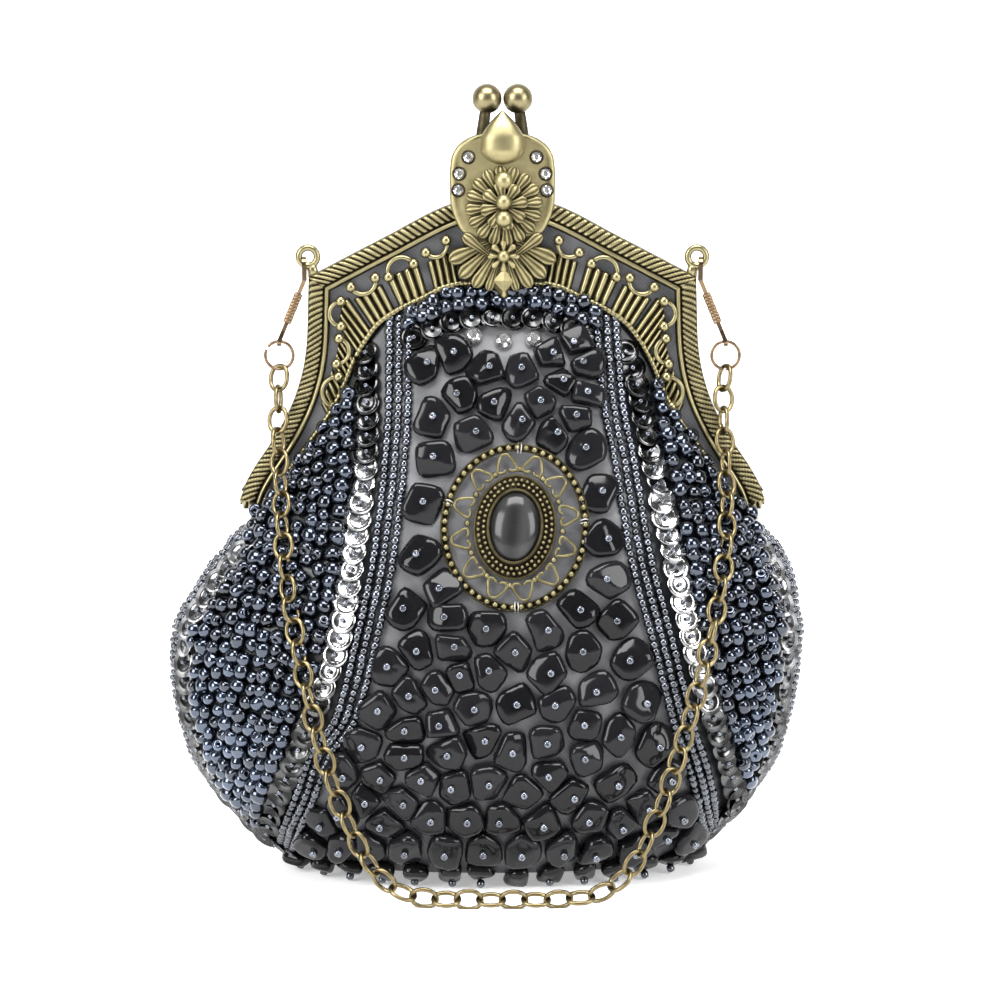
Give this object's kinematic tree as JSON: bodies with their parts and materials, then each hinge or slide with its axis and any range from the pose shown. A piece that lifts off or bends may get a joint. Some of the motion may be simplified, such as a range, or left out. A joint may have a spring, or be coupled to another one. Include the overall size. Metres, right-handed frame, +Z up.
{
  "type": "sequin handbag",
  "caption": "Beaded evening pouch bag in a hinged kiss-lock frame of openwork brass, with a medallion on its belly and a chain handle on spring hooks.",
  "frame": {"origin": "on the flat underside of the front panel, below the plane where the two half frames meet, midway between the hinge rivets", "axes": "+Z up towards the kiss-lock balls; the front with the medallion faces -Y; +X to the right as seen from the front"},
  "size_m": [0.159, 0.0838, 0.1962],
  "materials": {
    "antique_brass": "cast brass, darkened in its recesses and rubbed bright on its high places",
    "chain_brass": "dull aged brass wire",
    "coppery_brass": "aged brass strip with a coppery cast",
    "beaded_satin": "silver-grey satin sewn all over with navy gunmetal glass beads, cup sequins and black stone chips",
    "lining": "plain dark satin lining",
    "crystal": "clear cut glass, foil backed",
    "polished_stone": "polished near-black stone"
  },
  "bodies": {
    "pouch": {"front_frame": "antique_brass", "front_crest": "antique_brass", "front_lock_ball": "antique_brass", "front_stone_left_1": "crystal", "front_stone_left_2": "crystal", "front_stone_left_3": "crystal", "front_stone_right_1": "crystal", "front_stone_right_2": "crystal", "front_stone_right_3": "crystal", "front_panel": "beaded_satin", "front_lining": "lining", "back_panel": "beaded_satin", "back_lining": "lining", "medallion_ring": "antique_brass", "medallion_bezel": "antique_brass", "cabochon": "polished_stone", "crystal_left": "crystal", "crystal_centre": "crystal", "crystal_right": "crystal", "hinge_rivet_left": "antique_brass", "hinge_rivet_right": "antique_brass", "front_chips": "polished_stone", "back_chips": "polished_stone"},
    "back_half_frame": {"back_frame": "antique_brass", "back_crest": "antique_brass", "back_lock_ball": "antique_brass", "back_stone_left_1": "crystal", "back_stone_left_2": "crystal", "back_stone_left_3": "crystal", "back_stone_right_1": "crystal", "back_stone_right_2": "crystal", "back_stone_right_3": "crystal", "back_flap": "beaded_satin", "back_flap_lining": "lining", "back_flap_chips": "polished_stone"},
    "hook_left": {"hook_left": "coppery_brass", "hook_sleeve_left": "coppery_brass"},
    "hook_right": {"hook_right": "coppery_brass", "hook_sleeve_right": "coppery_brass"},
    "tongue_left": {"hook_tongue_left": "coppery_brass"},
    "tongue_right": {"hook_tongue_right": "coppery_brass"},
    "chain": {"ring_left": "coppery_brass", "ring_right": "coppery_brass", "chain_01": "chain_brass", "chain_02": "chain_brass", "chain_03": "chain_brass", "chain_04": "chain_brass", "chain_05": "chain_brass", "chain_06": "chain_brass", "chain_07": "chain_brass", "chain_08": "chain_brass", "chain_09": "chain_brass", "chain_10": "chain_brass"}
  },
  "joints": [
    {"name": "frame_open", "type": "hinge", "parent": "pouch", "child": "back_half_frame", "pos_m": [0, 0, 0.093], "axis": [-1, 0, 0], "range_deg": [0, 60]},
    {"name": "handle_swing", "type": "hinge", "parent": "pouch", "child": "hook_left", "pos_m": [-0.0489, -0.00195, 0.152], "axis": [-1, 0, 0], "range_deg": [0, 128]},
    {"name": "hook_right_swing", "type": "hinge", "parent": "pouch", "child": "hook_right", "pos_m": [0.0489, -0.00195, 0.152], "axis": [-1, 0, 0], "range_deg": [0, 128]},
    {"name": "ring_swing", "type": "hinge", "parent": "hook_left", "child": "chain", "pos_m": [-0.0553, -0.00195, 0.1329], "axis": [-1, 0, 0], "range_deg": [0, 45]},
    {"name": "tongue_left_press", "type": "hinge", "parent": "hook_left", "child": "tongue_left", "pos_m": [-0.0503, -0.00235, 0.1448], "axis": [-1, 0, 0], "range_deg": [0, 10], "stiffness_Nm_per_rad": 0.004, "springref_deg": -17.19},
    {"name": "tongue_right_press", "type": "hinge", "parent": "hook_right", "child": "tongue_right", "pos_m": [0.0503, -0.00235, 0.1448], "axis": [-1, 0, 0], "range_deg": [0, 10], "stiffness_Nm_per_rad": 0.004, "springref_deg": -17.19}
  ],
  "couplings": [
    {"joint": "hook_right_swing", "follows": "handle_swing", "ratio": 1}
  ]
}
